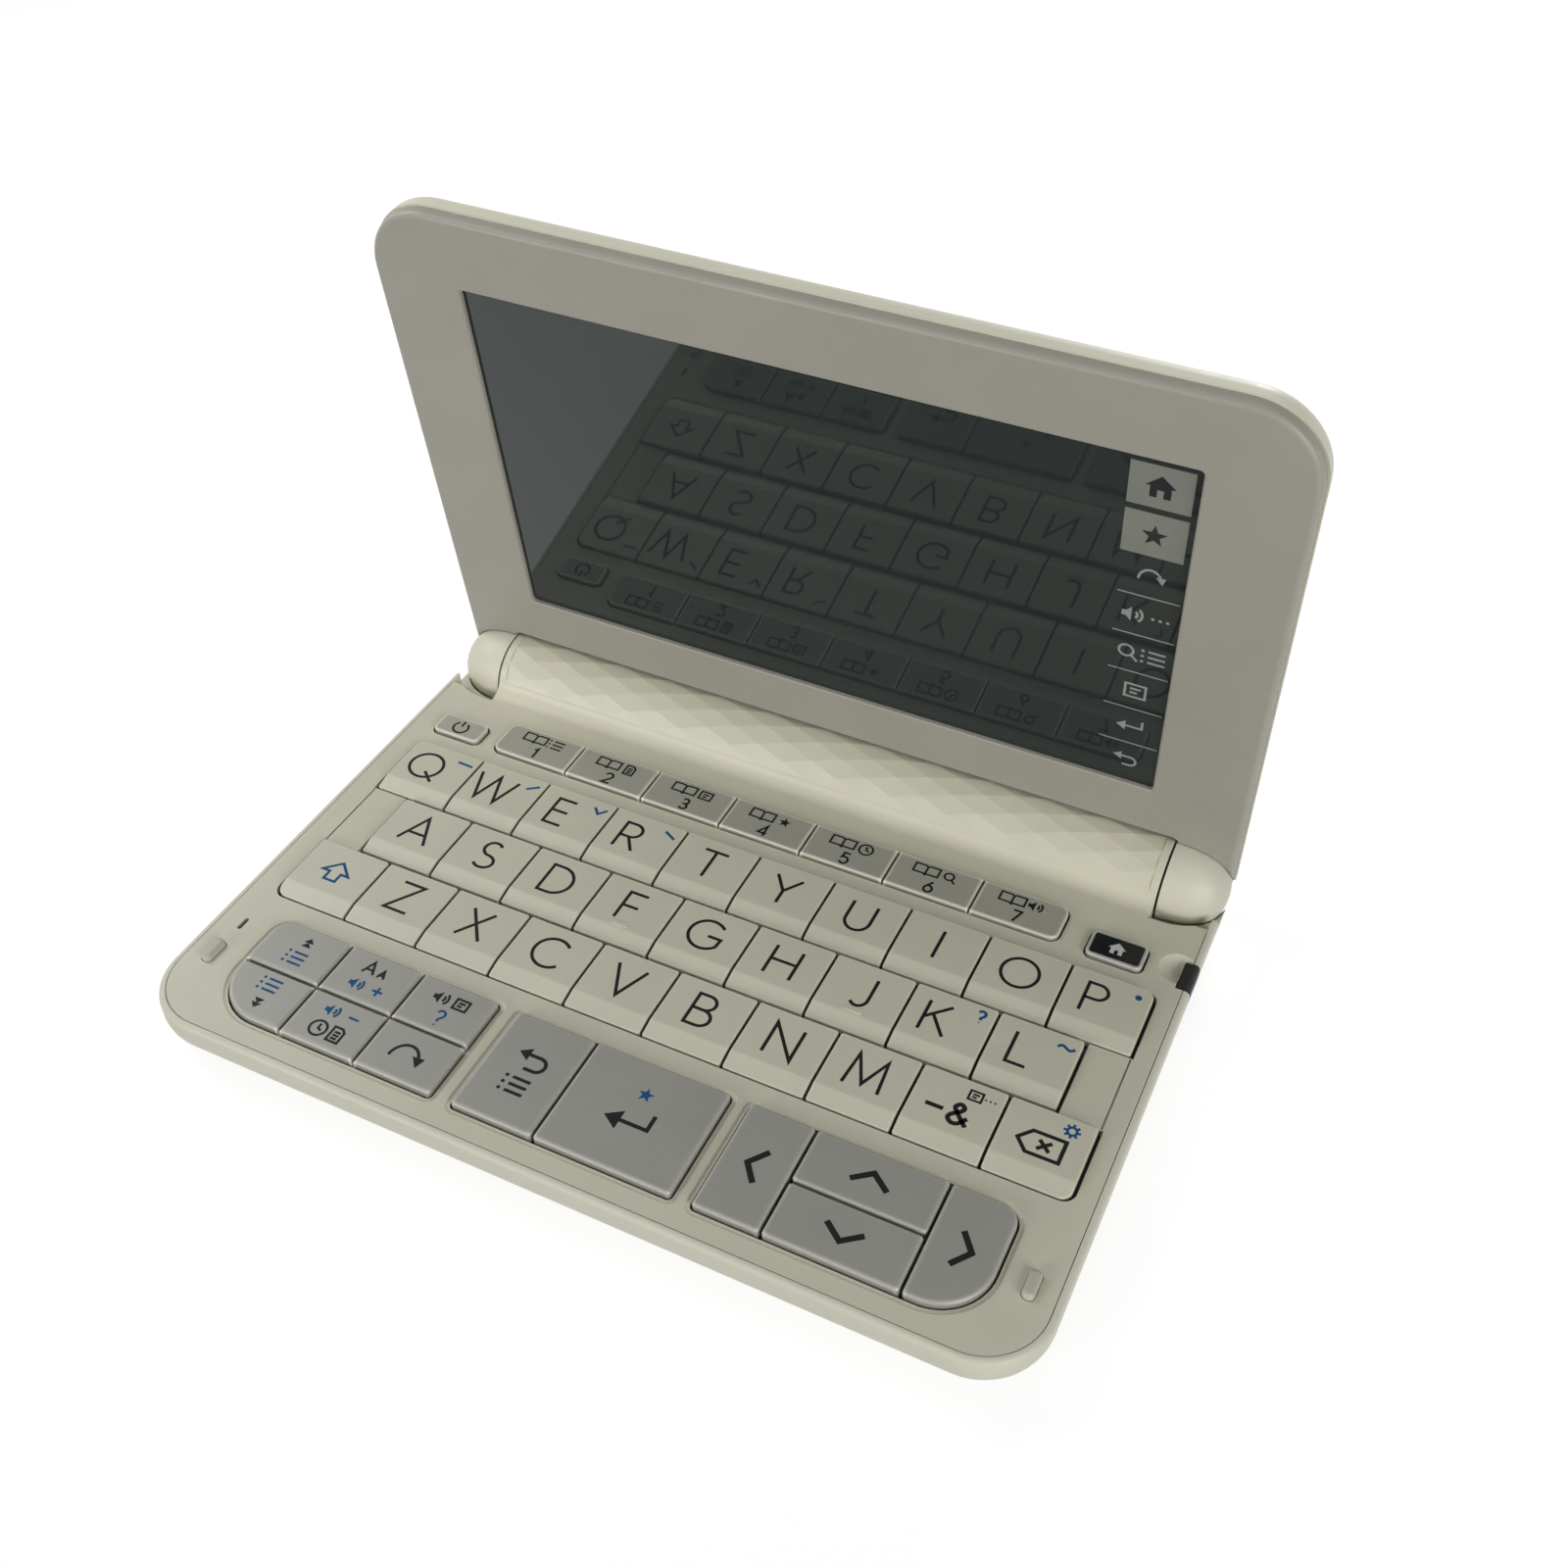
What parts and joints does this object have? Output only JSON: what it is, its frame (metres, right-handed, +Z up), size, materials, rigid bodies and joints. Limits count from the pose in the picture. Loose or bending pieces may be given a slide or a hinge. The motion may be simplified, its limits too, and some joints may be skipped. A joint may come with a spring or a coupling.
{
  "type": "electronic dictionary",
  "caption": "Clamshell electronic dictionary in ivory plastic: hinged lid with a wide touch display, faceted battery barrel, letter keyboard, silver function and arrow keys, and a stylus.",
  "frame": {"origin": "centre of the footprint on the table, under the rubber feet, with the lid open as in the picture", "axes": "+X along the hinge to the user's right, +Y from the front edge to the hinge, +Z up"},
  "size_m": [0.148, 0.1054, 0.1048],
  "materials": {
    "case_ivory": "glossy ivory white",
    "panel_ivory": "satin ivory white",
    "bezel_ivory": "fine matte ivory",
    "key_ivory": "satin ivory",
    "silver_key": "metallic silver paint",
    "dark_key": "satin dark grey",
    "stop_pad": "soft ivory rubber",
    "screen_glass": "clear touch panel",
    "display_dark": "grey green display, switched off",
    "board_green": "solder mask",
    "grey_rubber": "matt rubber",
    "steel": "plain",
    "cell_wrap": "plain wrap",
    "black_plastic": "plain"
  },
  "bodies": {
    "base": {"base_bottom_case": "case_ivory", "base_top_panel": "panel_ivory", "battery_cells": "cell_wrap", "battery_contacts": "steel", "key_rubber_sheet": "grey_rubber", "main_board": "board_green", "speaker": "black_plastic", "rubber_feet": "grey_rubber", "case_screws": "steel", "lid_stop_pads": "stop_pad", "hinge_clutches": "steel", "earphone_jack": "black_plastic", "port_sockets": "steel"},
    "lid": {"lid_back_shell": "case_ivory", "lid_front_frame": "bezel_ivory", "touch_glass": "screen_glass", "lcd_module": "display_dark", "hinge_shafts": "steel"},
    "battery_cover": {"battery_cover": "case_ivory"},
    "stylus": {"stylus": "dark_key"},
    "port_cover": {"port_cover": "case_ivory"},
    "key_shift": {"key_shift": "key_ivory"},
    "key_z": {"key_z": "key_ivory"},
    "key_x": {"key_x": "key_ivory"},
    "key_c": {"key_c": "key_ivory"},
    "key_v": {"key_v": "key_ivory"},
    "key_b": {"key_b": "key_ivory"},
    "key_n": {"key_n": "key_ivory"},
    "key_m": {"key_m": "key_ivory"},
    "key_dash": {"key_dash": "key_ivory"},
    "key_delete": {"key_delete": "key_ivory"},
    "key_a": {"key_a": "key_ivory"},
    "key_s": {"key_s": "key_ivory"},
    "key_d": {"key_d": "key_ivory"},
    "key_f": {"key_f": "key_ivory"},
    "key_g": {"key_g": "key_ivory"},
    "key_h": {"key_h": "key_ivory"},
    "key_j": {"key_j": "key_ivory"},
    "key_k": {"key_k": "key_ivory"},
    "key_l": {"key_l": "key_ivory"},
    "key_q": {"key_q": "key_ivory"},
    "key_w": {"key_w": "key_ivory"},
    "key_e": {"key_e": "key_ivory"},
    "key_r": {"key_r": "key_ivory"},
    "key_t": {"key_t": "key_ivory"},
    "key_y": {"key_y": "key_ivory"},
    "key_u": {"key_u": "key_ivory"},
    "key_i": {"key_i": "key_ivory"},
    "key_o": {"key_o": "key_ivory"},
    "key_p": {"key_p": "key_ivory"},
    "function_keys": {"function_keys": "silver_key"},
    "back_key": {"back_key": "silver_key"},
    "enter_key": {"enter_key": "silver_key"},
    "arrow_left_key": {"arrow_left_key": "silver_key"},
    "arrow_down_key": {"arrow_down_key": "silver_key"},
    "arrow_up_key": {"arrow_up_key": "silver_key"},
    "arrow_right_key": {"arrow_right_key": "silver_key"},
    "power_key": {"power_key": "silver_key"},
    "home_key": {"home_key": "silver_key"},
    "content_keys": {"content_keys": "silver_key"}
  },
  "joints": [
    {"name": "lid_hinge", "type": "hinge", "parent": "base", "child": "lid", "pos_m": [0, 0.0449, 0.00825], "axis": [-1, 0, 0], "range_deg": [-81.5, 58.5]},
    {"name": "stylus_slide", "type": "slide", "parent": "base", "child": "stylus", "axis": [1, 0, 0], "range_m": [0, 0.08]},
    {"name": "battery_cover_slide", "type": "slide", "parent": "base", "child": "battery_cover", "axis": [0, 1, 0], "range_m": [0, 0.0025]},
    {"name": "port_cover_pull", "type": "slide", "parent": "base", "child": "port_cover", "axis": [1, 0, 0], "range_m": [0, 0.005]},
    {"name": "key_shift_press", "type": "slide", "parent": "base", "child": "key_shift", "axis": [0, 0, -1], "range_m": [0, 0.0006], "stiffness_N_per_m": 800},
    {"name": "key_z_press", "type": "slide", "parent": "base", "child": "key_z", "axis": [0, 0, -1], "range_m": [0, 0.0006], "stiffness_N_per_m": 800},
    {"name": "key_x_press", "type": "slide", "parent": "base", "child": "key_x", "axis": [0, 0, -1], "range_m": [0, 0.0006], "stiffness_N_per_m": 800},
    {"name": "key_c_press", "type": "slide", "parent": "base", "child": "key_c", "axis": [0, 0, -1], "range_m": [0, 0.0006], "stiffness_N_per_m": 800},
    {"name": "key_v_press", "type": "slide", "parent": "base", "child": "key_v", "axis": [0, 0, -1], "range_m": [0, 0.0006], "stiffness_N_per_m": 800},
    {"name": "key_b_press", "type": "slide", "parent": "base", "child": "key_b", "axis": [0, 0, -1], "range_m": [0, 0.0006], "stiffness_N_per_m": 800},
    {"name": "key_n_press", "type": "slide", "parent": "base", "child": "key_n", "axis": [0, 0, -1], "range_m": [0, 0.0006], "stiffness_N_per_m": 800},
    {"name": "key_m_press", "type": "slide", "parent": "base", "child": "key_m", "axis": [0, 0, -1], "range_m": [0, 0.0006], "stiffness_N_per_m": 800},
    {"name": "key_dash_press", "type": "slide", "parent": "base", "child": "key_dash", "axis": [0, 0, -1], "range_m": [0, 0.0006], "stiffness_N_per_m": 800},
    {"name": "key_delete_press", "type": "slide", "parent": "base", "child": "key_delete", "axis": [0, 0, -1], "range_m": [0, 0.0006], "stiffness_N_per_m": 800},
    {"name": "key_a_press", "type": "slide", "parent": "base", "child": "key_a", "axis": [0, 0, -1], "range_m": [0, 0.0006], "stiffness_N_per_m": 800},
    {"name": "key_s_press", "type": "slide", "parent": "base", "child": "key_s", "axis": [0, 0, -1], "range_m": [0, 0.0006], "stiffness_N_per_m": 800},
    {"name": "key_d_press", "type": "slide", "parent": "base", "child": "key_d", "axis": [0, 0, -1], "range_m": [0, 0.0006], "stiffness_N_per_m": 800},
    {"name": "key_f_press", "type": "slide", "parent": "base", "child": "key_f", "axis": [0, 0, -1], "range_m": [0, 0.0006], "stiffness_N_per_m": 800},
    {"name": "key_g_press", "type": "slide", "parent": "base", "child": "key_g", "axis": [0, 0, -1], "range_m": [0, 0.0006], "stiffness_N_per_m": 800},
    {"name": "key_h_press", "type": "slide", "parent": "base", "child": "key_h", "axis": [0, 0, -1], "range_m": [0, 0.0006], "stiffness_N_per_m": 800},
    {"name": "key_j_press", "type": "slide", "parent": "base", "child": "key_j", "axis": [0, 0, -1], "range_m": [0, 0.0006], "stiffness_N_per_m": 800},
    {"name": "key_k_press", "type": "slide", "parent": "base", "child": "key_k", "axis": [0, 0, -1], "range_m": [0, 0.0006], "stiffness_N_per_m": 800},
    {"name": "key_l_press", "type": "slide", "parent": "base", "child": "key_l", "axis": [0, 0, -1], "range_m": [0, 0.0006], "stiffness_N_per_m": 800},
    {"name": "key_q_press", "type": "slide", "parent": "base", "child": "key_q", "axis": [0, 0, -1], "range_m": [0, 0.0006], "stiffness_N_per_m": 800},
    {"name": "key_w_press", "type": "slide", "parent": "base", "child": "key_w", "axis": [0, 0, -1], "range_m": [0, 0.0006], "stiffness_N_per_m": 800},
    {"name": "key_e_press", "type": "slide", "parent": "base", "child": "key_e", "axis": [0, 0, -1], "range_m": [0, 0.0006], "stiffness_N_per_m": 800},
    {"name": "key_r_press", "type": "slide", "parent": "base", "child": "key_r", "axis": [0, 0, -1], "range_m": [0, 0.0006], "stiffness_N_per_m": 800},
    {"name": "key_t_press", "type": "slide", "parent": "base", "child": "key_t", "axis": [0, 0, -1], "range_m": [0, 0.0006], "stiffness_N_per_m": 800},
    {"name": "key_y_press", "type": "slide", "parent": "base", "child": "key_y", "axis": [0, 0, -1], "range_m": [0, 0.0006], "stiffness_N_per_m": 800},
    {"name": "key_u_press", "type": "slide", "parent": "base", "child": "key_u", "axis": [0, 0, -1], "range_m": [0, 0.0006], "stiffness_N_per_m": 800},
    {"name": "key_i_press", "type": "slide", "parent": "base", "child": "key_i", "axis": [0, 0, -1], "range_m": [0, 0.0006], "stiffness_N_per_m": 800},
    {"name": "key_o_press", "type": "slide", "parent": "base", "child": "key_o", "axis": [0, 0, -1], "range_m": [0, 0.0006], "stiffness_N_per_m": 800},
    {"name": "key_p_press", "type": "slide", "parent": "base", "child": "key_p", "axis": [0, 0, -1], "range_m": [0, 0.0006], "stiffness_N_per_m": 800},
    {"name": "function_keys_press", "type": "slide", "parent": "base", "child": "function_keys", "axis": [0, 0, -1], "range_m": [0, 0.0006], "stiffness_N_per_m": 800},
    {"name": "back_key_press", "type": "slide", "parent": "base", "child": "back_key", "axis": [0, 0, -1], "range_m": [0, 0.0006], "stiffness_N_per_m": 800},
    {"name": "enter_key_press", "type": "slide", "parent": "base", "child": "enter_key", "axis": [0, 0, -1], "range_m": [0, 0.0006], "stiffness_N_per_m": 800},
    {"name": "arrow_left_key_press", "type": "slide", "parent": "base", "child": "arrow_left_key", "axis": [0, 0, -1], "range_m": [0, 0.0006], "stiffness_N_per_m": 800},
    {"name": "arrow_down_key_press", "type": "slide", "parent": "base", "child": "arrow_down_key", "axis": [0, 0, -1], "range_m": [0, 0.0006], "stiffness_N_per_m": 800},
    {"name": "arrow_up_key_press", "type": "slide", "parent": "base", "child": "arrow_up_key", "axis": [0, 0, -1], "range_m": [0, 0.0006], "stiffness_N_per_m": 800},
    {"name": "arrow_right_key_press", "type": "slide", "parent": "base", "child": "arrow_right_key", "axis": [0, 0, -1], "range_m": [0, 0.0006], "stiffness_N_per_m": 800},
    {"name": "power_key_press", "type": "slide", "parent": "base", "child": "power_key", "axis": [0, 0, -1], "range_m": [0, 0.0006], "stiffness_N_per_m": 800},
    {"name": "home_key_press", "type": "slide", "parent": "base", "child": "home_key", "axis": [0, 0, -1], "range_m": [0, 0.0006], "stiffness_N_per_m": 800},
    {"name": "content_keys_press", "type": "slide", "parent": "base", "child": "content_keys", "axis": [0, 0, -1], "range_m": [0, 0.0006], "stiffness_N_per_m": 800}
  ]
}
